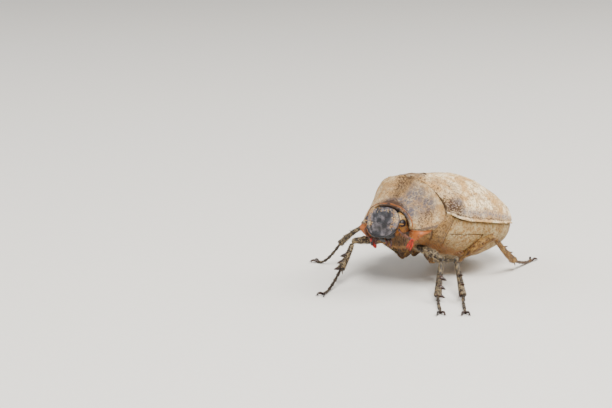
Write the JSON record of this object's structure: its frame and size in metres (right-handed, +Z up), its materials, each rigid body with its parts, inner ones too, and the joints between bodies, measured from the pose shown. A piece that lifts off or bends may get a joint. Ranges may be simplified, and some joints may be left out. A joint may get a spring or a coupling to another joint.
{
  "type": "adult beetle of the sugarcane white grub",
  "caption": "Life-size still model of a large scarab beetle: domed wing cases, lowered head, clubbed antennae, standing on flat-footed legs.",
  "frame": {"origin": "on the floor, under the middle of the bounding box", "axes": "+Z up from the floor, -Y the way the beetle faces, +X its left"},
  "size_m": [0.046, 0.049, 0.0211],
  "materials": {
    "scaled_cream": "wing-case cuticle under a dense coat of tiny cream scales, matt",
    "scaled_grey": "pronotum cuticle, grey-cream scales rubbed in places, matt",
    "slate": "bare, finely punctured slate-grey head cuticle, half shiny",
    "khaki": "belly cuticle under khaki scales and short hairs, matt",
    "dusky_leg": "leg cuticle, dark with pale scales, matt",
    "claw_brown": "bare dark brown foot and claw cuticle, half shiny",
    "eye_black": "faceted eye, black-brown and glossy",
    "club_red": "antenna cuticle, red-brown and smooth"
  },
  "bodies": {
    "root": {"head": "slate", "eye_left": "eye_black", "eye_right": "eye_black", "antenna_left": "club_red", "antenna_right": "club_red", "prothorax": "scaled_grey", "scutellum": "scaled_cream", "elytron_left": "scaled_cream", "elytron_right": "scaled_cream", "thorax": "khaki", "abdomen": "khaki", "pygidium": "khaki", "leg_front_left_femur": "dusky_leg", "leg_front_left_tibia": "dusky_leg", "leg_front_left_tarsus": "claw_brown", "leg_front_right_femur": "dusky_leg", "leg_front_right_tibia": "dusky_leg", "leg_front_right_tarsus": "claw_brown", "leg_middle_left_femur": "dusky_leg", "leg_middle_left_tibia": "dusky_leg", "leg_middle_left_tarsus": "claw_brown", "leg_middle_right_femur": "dusky_leg", "leg_middle_right_tibia": "dusky_leg", "leg_middle_right_tarsus": "claw_brown", "leg_hind_left_femur": "dusky_leg", "leg_hind_left_tibia": "dusky_leg", "leg_hind_left_tarsus": "claw_brown", "leg_hind_right_femur": "dusky_leg", "leg_hind_right_tibia": "dusky_leg", "leg_hind_right_tarsus": "claw_brown"}
  },
  "joints": []
}
